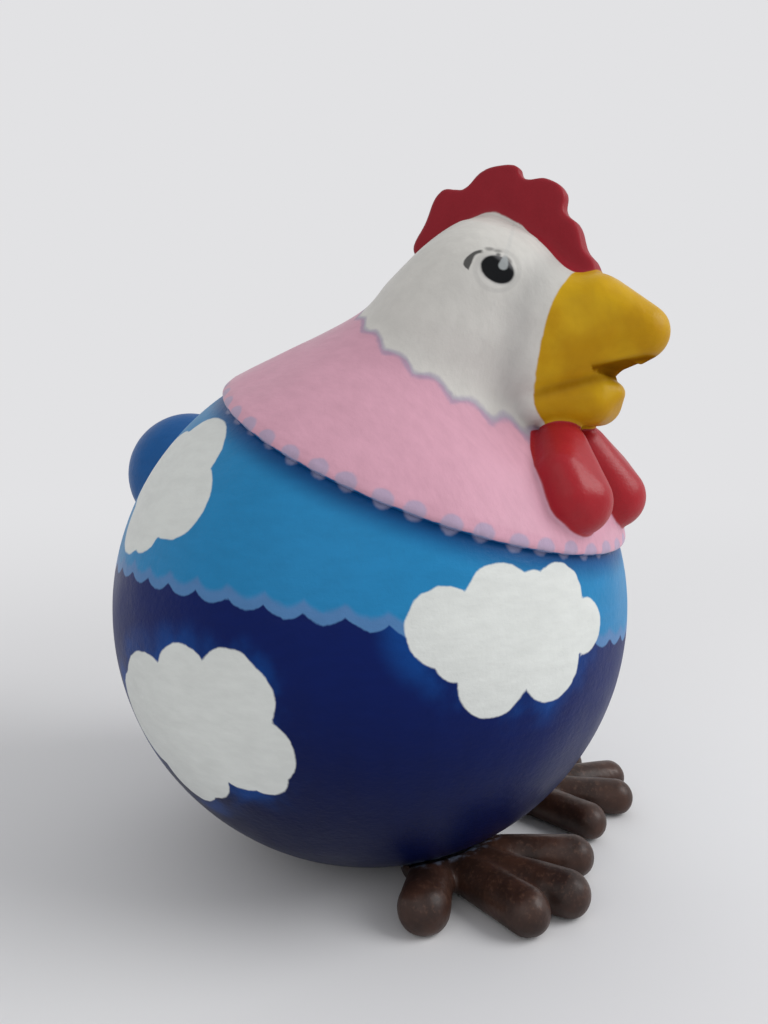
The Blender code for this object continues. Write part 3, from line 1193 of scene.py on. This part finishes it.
def painted_eye(paint, colour):
    """A black oval with a grey highlight, a lid stroke above it and a soft grey ring."""
    flip = paint.nodes.new("ShaderNodeSeparateXYZ")
    paint.plug(flip.inputs[0], paint.place)
    side = paint.times(paint.maths("ABSOLUTE", flip.outputs[0]), -1.0)
    both = paint.nodes.new("ShaderNodeCombineXYZ")
    for socket, value in zip(both.inputs, (side, flip.outputs[1], flip.outputs[2])):
        paint.plug(socket, value)
    away = paint.vector("SUBTRACT", both.outputs[0], EYE_PLACE)
    across = paint.vector("DOT_PRODUCT", away, tuple(EYE_ACROSS / MM))
    up = paint.vector("DOT_PRODUCT", away, tuple(EYE_UP / MM))
    shake = paint.minus(paint.noise(EYE_SHAKE_SIZE, 2.0), 0.5)
    across = paint.plus(across, paint.times(shake, EYE_SHAKE))

    def turned(angle, x, y):
        """Coordinates along and across a direction, from the point (x, y) in millimetres."""
        right = paint.minus(across, x)
        high = paint.minus(up, y)
        along = paint.plus(paint.times(right, cos(angle)), paint.times(high, sin(angle)))
        beside = paint.minus(paint.times(high, cos(angle)), paint.times(right, sin(angle)))
        return along, beside

    def length(first, second):
        squares = paint.plus(paint.maths("POWER", first, 2.0), paint.maths("POWER", second, 2.0))
        return paint.maths("SQRT", squares)

    def oval(lean, place, size):
        """How far out each point lies from an oval's centre, as a share of the oval."""
        oval_along, oval_beside = turned(lean, *place)
        return length(paint.maths("DIVIDE", oval_along, size[0]), paint.maths("DIVIDE", oval_beside, size[1]))

    def lay(share, strength, paint_colour, below):
        """Paint of a colour over what is below it."""
        return paint.mix(paint.times(share, strength), below, paint_colour)

    around = paint.minus(length(*turned(0.0, *EYE_OVAL_PLACE)), EYE_RING_RADIUS)
    colour = lay(paint.step(paint.maths("ABSOLUTE", around), *EYE_RING), 0.15, GREY_PAINT, colour)
    colour = lay(paint.step(around, *EYE_INSIDE), 0.35, EYE_WHITE_PAINT, colour)

    lid_across, lid_up = turned(0.0, *LID_PLACE)
    from_lid = paint.maths("ABSOLUTE", paint.minus(length(lid_across, lid_up), LID_RADIUS))
    thickness = paint.plus(paint.step(lid_up, *LID_SWELLING), paint.step(lid_up, *LID_TAPER))
    lid = paint.step(paint.minus(from_lid, thickness), -0.5, 0.5, 1.0, 0.0)
    colour = lay(paint.times(lid, paint.step(lid_across, *LID_END)), 0.86, BLACK_PAINT, colour)
    for x, y, half_length, half_width, lean, strength in SMEARS:
        smear = oval(radians(lean), (x, y), (half_length, half_width))
        colour = lay(paint.step(smear, 0.3, 1.3, 1.0, 0.0), strength, BLACK_PAINT, colour)

    pupil = oval(EYE_OVAL_LEAN, EYE_OVAL_PLACE, EYE_OVAL_SIZE)
    colour = lay(paint.step(pupil, *EYE_HALO), 0.40, GREY_PAINT, colour)
    within_pupil = paint.step(pupil, *EYE_OVAL_EDGE)
    colour = lay(within_pupil, 1.0, BLACK_PAINT, colour)
    # Painted sheen: grey over the pupil on its side toward the light
    toward_light, _ = turned(EYE_HAZE_TOWARD, *EYE_OVAL_PLACE)
    colour = lay(paint.times(paint.step(toward_light, *EYE_HAZE), within_pupil), 0.60, GREY_PAINT, colour)

    drop_along, drop_beside = turned(HIGHLIGHT_LEAN, *HIGHLIGHT_PLACE)
    below = paint.maths("MINIMUM", drop_along, 0.0)
    width = paint.step(drop_along, *HIGHLIGHT_WIDTH)
    drop = paint.step(paint.minus(length(below, drop_beside), width), -0.6, 0.6, 1.0, 0.0)
    return lay(paint.times(drop, paint.step(drop_along, *HIGHLIGHT_TOP)), 0.80, HIGHLIGHT_PAINT, colour)


def hem_dabs(paint, ragged):
    """How strongly the thin lilac dabs along the collar's hem cover what is below them."""
    return paint.times(paint.edge(paint.kept("hem_dab"), DAB_SOFT, ragged), DAB_COVER)


def head_material():
    """White head, pink collar with its lace borders, yellow beak, red comb and wattles, and the eyes."""
    paint = Paint("painted_head")
    ragged = paint.noise(HEAD_RAGGED)
    streaks = paint.noise(HEAD_STREAKS, 3.0, HEAD_STROKE, STREAK_ROUGHNESS)
    patches = paint.noise(HEAD_PATCHES)
    # Painted shade: grey in the cheek's hollow behind the beak's paint
    hollow = paint.times(paint.kept("hollow"), HOLLOW_COVER)
    colour = paint.mix(hollow, WHITE_PAINT, GREY_PAINT)
    top = paint.kept("top_lace")
    colour = paint.mix(paint.edge(top, LACE_SOFT, ragged), colour, PINK_PAINT)
    stroke = paint.minus(paint.maths("ABSOLUTE", top), LACE_STROKE_HALF_WIDTH)
    lilac = paint.times(paint.edge(stroke, LACE_STROKE_SOFT, ragged), LACE_STROKE_COVER)
    colour = paint.mix(lilac, colour, LILAC_PAINT)
    hem = paint.kept("hem_height")
    below = paint.edge(paint.plus(hem, HEM_DROP), HEM_SOFT, ragged)
    hem_blue = paint.mix(paint.step(hem, *HEM_SHADE), LIGHT_BLUE_PAINT, SHADOW_BLUE_PAINT)
    colour = paint.mix(below, colour, hem_blue)
    colour = paint.mix(hem_dabs(paint, ragged), colour, DAB_PAINT)
    colour = painted_eye(paint, colour)
    yellow = paint.mix(paint.step(patches, 0.35, 0.65), YELLOW_PAINT, DEEP_YELLOW_PAINT)
    # Brown paint and painted shade in the mouth's gap, along its crease and under the upper lip
    yellow = paint.mix(paint.times(paint.kept("mouth"), MOUTH_COVER), yellow, MOUTH_BROWN_AND_SHADE_PAINT)
    beak = paint.edge(paint.times(paint.kept("beak"), -1.0), BEAK_SOFT, ragged, BEAK_SHAKE)
    colour = paint.mix(beak, colour, yellow)
    red = paint.edge(paint.kept("comb"), COMB_SOFT, ragged, COMB_SHAKE)
    colour = paint.mix(red, colour, COMB_PAINT)
    wet = paint.edge(paint.kept("wattle"), WATTLE_SOFT, ragged, WATTLE_SHAKE)
    colour = paint.mix(wet, colour, WATTLE_PAINT)
    colour = brushed(paint, colour, streaks, patches)
    shine = paint.step(paint.kept("mouth"), *MOUTH_DULL)
    gloss = paint.times(paint.step(wet, 0.0, 1.0, PAINT_GLOSS, WATTLE_GLOSS), shine)
    roughness = satin(paint, patches, PAINT_ROUGHNESS)
    roughness = paint.maths("MAXIMUM", roughness, paint.minus(1.0, shine))
    return paint.finish(colour, roughness, paper_relief(paint, HEAD_STROKE), gloss)


def glue_flecks(paint):
    """Pale flecks of glue and paint along the seam between a foot and the ball."""
    flecks = paint.step(paint.noise(GLUE_SIZE, 4.0, roughness=FINE_ROUGHNESS), *GLUE_SPECKS)
    return paint.times(paint.step(paint.kept("glue"), *GLUE_REACH), flecks)


def ball_material():
    """Light blue above a wavy band, dark blue below it, white clouds, and a blue tail."""
    paint = Paint("painted_ball")
    ragged = paint.noise(BALL_RAGGED)
    streaks = paint.noise(BALL_STREAKS, 3.0, BALL_STROKE, STREAK_ROUGHNESS)
    patches = paint.noise(BALL_PATCHES, 4.0)
    height = paint.kept("band")
    under = paint.step(paint.kept("under_collar"), *COLLAR_SHADE)
    light = paint.mix(under, LIGHT_BLUE_PAINT, SHADOW_BLUE_PAINT)
    light = paint.mix(hem_dabs(paint, ragged), light, DAB_PAINT)
    # Painted shade: the dark blue below the band deepens towards the ball's bottom
    dark = paint.mix(paint.step(height, *DEPTH_SHADE), DARK_BLUE_PAINT, BOTTOM_SHADE_BLUE_PAINT)
    cloud = paint.kept("cloud")
    haze = paint.times(paint.step(cloud, *HAZE_REACH), paint.step(patches, *HAZE_PATCHES))
    dark = paint.mix(paint.times(haze, HAZE_COVER), dark, HAZE_BLUE_PAINT)
    ribbon = paint.edge(paint.minus(height, RIBBON_WIDTH), RIBBON_SOFT, ragged)
    light = paint.mix(paint.times(ribbon, RIBBON_COVER), light, BAND_PAINT)
    colour = paint.mix(paint.edge(height, EDGE_SOFT, ragged), light, dark)
    colour = paint.mix(paint.edge(paint.kept("tail"), TAIL_SOFT, ragged), colour, TAIL_PAINT)
    colour = paint.mix(paint.edge(cloud, EDGE_SOFT, ragged), colour, CLOUD_PAINT)
    colour = paint.mix(glue_flecks(paint), colour, GLUE_PAINT)
    colour = brushed(paint, colour, streaks, patches)
    roughness = satin(paint, patches, PAINT_ROUGHNESS)
    return paint.finish(colour, roughness, paper_relief(paint, BALL_STROKE), PAINT_GLOSS)


def clay_material():
    """Brown glazed clay, darker in patches, with paler specks painted as highlight on its upper parts."""
    paint = Paint("brown_clay")
    patches = paint.noise(CLAY_PATCHES, 4.0)
    fine = paint.noise(CLAY_GRAIN[0], 4.0, roughness=FINE_ROUGHNESS)
    colour = paint.mix(paint.step(patches, 0.3, 0.7), CLAY_PAINT, CLAY_DARK_PAINT)
    # Painted highlight: paler specks on the upper parts of the toes and pad
    top_highlight = paint.times(paint.step(fine, *CLAY_HIGHLIGHT_SPECKS), paint.step(paint.kept("proud"), *CLAY_PROUD))
    colour = paint.mix(paint.times(top_highlight, CLAY_HIGHLIGHT_COVER), colour, CLAY_HIGHLIGHT_PAINT)
    colour = paint.mix(glue_flecks(paint), colour, GLUE_PAINT)
    pits = paint.bump(fine, CLAY_GRAIN[1])
    waves = paint.bump(paint.noise(CLAY_WAVES[0], 2.0), CLAY_WAVES[1], pits)
    return paint.finish(colour, satin(paint, patches, CLAY_ROUGHNESS), waves, CLAY_GLOSS)


def make_head():
    """The collar, neck, head, comb, beak and wattles as one skin, with the mouth cut into it."""
    neck = MeshForm(neck_and_head())
    crest = MeshForm(comb())
    upper = hull_form(mirrored_balls(UPPER_BEAK_BALLS))
    lower = hull_form(mirrored_balls(LOWER_BEAK_BALLS))
    wattles = [wattle(-1), wattle(1)]
    cap = CapForm(BallForm(BALL_CENTRE, BALL_RADIUS), RIM_CENTRE + RIM_NORMAL * CAP_RISE, RIM_NORMAL)
    whole = Blend(
        neck,
        (cap, FILLET_THROAT),
        (upper, FILLET_UPPER_BEAK),
        (crest, FILLET_COMB),
        (lower, FILLET_LOWER_BEAK),
        *((w, FILLET_WATTLE) for w in wattles),
    )
    gap = hull_form(mirrored_balls(MOUTH_GAP_BALLS))
    form = Slit(whole, gap, FILLET_MOUTH)
    mesh = remeshed("head_and_collar", form.forms(), HEAD_VOXEL, gap)
    points = settle(mesh, form, HEAD_ROUNDS)
    store(mesh, "top_lace", top_lace_edge(points))
    dab, hem = hem_edges(points)
    store(mesh, "hem_dab", dab)
    store(mesh, "hem_height", hem)
    from_beak_paint = side_distance(points, BEAK_ROOT)
    store(mesh, "beak", from_beak_paint)
    store(mesh, "hollow", np.exp(-((from_beak_paint + HOLLOW_DISTANCE) / HOLLOW_WIDTH) ** 2))
    store(mesh, "comb", comb_edge(points, crest))
    from_lower_beak = lower.measure(points)[0]
    store(mesh, "wattle", wattle_edge(points, wattles, from_lower_beak))
    store(mesh, "mouth", mouth_brown_and_shade(points, upper, gap, from_lower_beak))
    sink(mesh, points, lumpy(points, HEAD_LUMPS))
    return finished_piece("head_and_collar", mesh, head_material(), "hen_body")


def make_ball():
    """The ball with its tail, which stays just below the head's own skin where that covers it."""
    ball = BallForm(BALL_CENTRE, BALL_RADIUS)
    back = tail()
    form = Blend(ball, (back, FILLET_TAIL))
    mesh = remeshed("ball_and_tail", form.forms(), BALL_VOXEL)
    points = settle(mesh, form, BALL_ROUNDS)
    _, height = rim_places(points)
    store(mesh, "band", band_edge(points))
    from_tail_paint = back.measure(points)[0] - TAIL_PAINT_REACH
    store(mesh, "tail", from_tail_paint)
    store(mesh, "cloud", np.where(from_tail_paint < 0, 1.0, cloud_edge(points)))
    store(mesh, "under_collar", -height)
    store(mesh, "hem_dab", hem_edges(points)[0])
    feet = np.minimum(*(foot_lump(plan).measure(points)[0] for plan in (RIGHT_FOOT, LEFT_FOOT)))
    store(mesh, "glue", np.abs(feet))
    covered = np.clip((height - CAP_RISE / 2) / CAP_RISE, 0, 1)
    sink(mesh, points, lumpy(points, BALL_LUMPS) + CAP_SINK * covered)
    rest_on_ground(mesh)
    return finished_piece("ball_and_tail", mesh, ball_material(), "hen_body")


def foot_lump(plan):
    """A pad with its toes, before it is pressed down."""
    pad = Vector((plan.side, -plan.forward, TOE_HEIGHT))
    toes = []
    for toe in plan.toes:
        tip = pad + Vector((sin(toe.direction), -cos(toe.direction), 0)) * toe.length
        toes.append((ConeForm(pad, TOE_ROOT_RADIUS, tip, toe.tip_radius), FILLET_TOE))
    return Blend(BallForm(pad, PAD_RADIUS), *toes)


def make_foot(name, plan, material):
    """A foot pressed between the ball and the ground."""
    form = Pressed(foot_lump(plan))
    mesh = remeshed(name, form.forms(), FOOT_VOXEL)
    points = settle(mesh, form, FOOT_ROUNDS)
    write_points(mesh, points)
    store(mesh, "proud", np.clip(points[:, 2] / (2 * TOE_HEIGHT), 0, 1))
    store(mesh, "glue", np.abs(BallForm(BALL_CENTRE, BALL_RADIUS).measure(points)[0]) + FOOT_GLUE_DEPTH)
    sink(mesh, points, FOOT_SINK + lumpy(points, FOOT_LUMPS))
    rest_on_ground(mesh)
    return finished_piece(name + "_clay", mesh, material, name)


# Camera, at the photograph's place and angle
CAMERA_PLACE = (-0.3777, -0.2740, 0.2341)
CAMERA_HEADING = radians(-55)
CAMERA_PITCH = radians(4.13)
CAMERA_LENS = 27.04
CAMERA_SENSOR = 36

# Light and stage
FLOOR_RADIUS = 12.0
FLOOR_SEGMENTS = 96
FLOOR_ROUGHNESS = 0.8
FLOOR_GLOSS = 0.1

# Where the floor fades into the background and where it is all floor, each as 1 over the distance
FLOOR_FADE = (0.2, 2.3)
PALE_GREY = (226, 226, 228)
AMBIENT = 0.62
KEY_PLACE = (0.55, -1.55, 1.35)
KEY_SIZE = 1.3
KEY_POWER = 22.0
FILL_PLACE = (-1.7, -0.4, 1.1)
FILL_SIZE = 1.6
FILL_POWER = 4.0


def add_camera():
    data = bpy.data.cameras.new("camera")
    data.lens = CAMERA_LENS
    data.sensor_width = CAMERA_SENSOR
    made = placed("camera", data)
    made.location = CAMERA_PLACE
    made.rotation_euler = (pi / 2 - CAMERA_PITCH, 0, CAMERA_HEADING)
    bpy.context.scene.camera = made


def add_light(name, place, size, power):
    data = bpy.data.lights.new(name, "AREA")
    data.shape = "DISK"
    data.size = size
    data.energy = power
    made = placed(name, data)
    made.location = place
    made.rotation_euler = (Vector(place) - BALL_CENTRE).to_track_quat("Z", "Y").to_euler()


def seen_rays(nodes, links):
    """1 for the rays that see the stage directly, in a reflection or through glass."""
    path = nodes.new("ShaderNodeLightPath")
    total = path.outputs["Is Camera Ray"]
    for name in ("Is Glossy Ray", "Is Transmission Ray"):
        add = nodes.new("ShaderNodeMath")
        add.operation = "MAXIMUM"
        links.new(total, add.inputs[0])
        links.new(path.outputs[name], add.inputs[1])
        total = add.outputs[0]
    return total


def mix_shaders(nodes, links, share, first, second, output):
    """Sends a mix of two shaders to an output."""
    mix = nodes.new("ShaderNodeMixShader")
    for socket, value in zip(mix.inputs, (share, first, second)):
        links.new(value, socket)
    links.new(mix.outputs[0], nodes[output].inputs["Surface"])


def add_world():
    """Soft light from all round, seen as a plain pale grey."""
    world = bpy.data.worlds.new("studio")
    world.use_nodes = True
    nodes, links = world.node_tree.nodes, world.node_tree.links
    soft = nodes["Background"]
    soft.inputs["Color"].default_value = (1, 1, 1, 1)
    soft.inputs["Strength"].default_value = AMBIENT
    seen = nodes.new("ShaderNodeBackground")
    seen.inputs["Color"].default_value = linear(PALE_GREY)
    mix_shaders(nodes, links, seen_rays(nodes, links), soft.outputs[0], seen.outputs[0], "World Output")
    bpy.context.scene.world = world


def add_floor():
    """A pale floor that fades into the pale background."""
    shape = bmesh.new()
    bmesh.ops.create_circle(shape, cap_ends=True, segments=FLOOR_SEGMENTS, radius=FLOOR_RADIUS)
    floor = placed("floor", as_mesh("floor", shape))
    paint = Paint("floor")
    nearness = paint.maths("DIVIDE", 1.0, paint.vector("LENGTH", paint.place))
    fade = paint.times(paint.step(nearness, *FLOOR_FADE, 1.0, 0.0), seen_rays(paint.nodes, paint.links))
    paint.shader.inputs["Base Color"].default_value = linear(PALE_GREY)
    paint.shader.inputs["Roughness"].default_value = FLOOR_ROUGHNESS
    paint.shader.inputs["Specular IOR Level"].default_value = FLOOR_GLOSS
    glow = paint.nodes.new("ShaderNodeEmission")
    glow.inputs["Color"].default_value = linear(PALE_GREY)
    lit, plain = paint.shader.outputs[0], glow.outputs[0]
    mix_shaders(paint.nodes, paint.links, fade, lit, plain, "Material Output")
    floor.data.materials.append(paint.material)


make_ball()
make_head()
clay = clay_material()
make_foot("foot_right", RIGHT_FOOT, clay)
make_foot("foot_left", LEFT_FOOT, clay)
add_camera()
add_world()
add_floor()
add_light("key", KEY_PLACE, KEY_SIZE, KEY_POWER)
add_light("fill", FILL_PLACE, FILL_SIZE, FILL_POWER)
bpy.context.scene.view_settings.view_transform = "Standard"
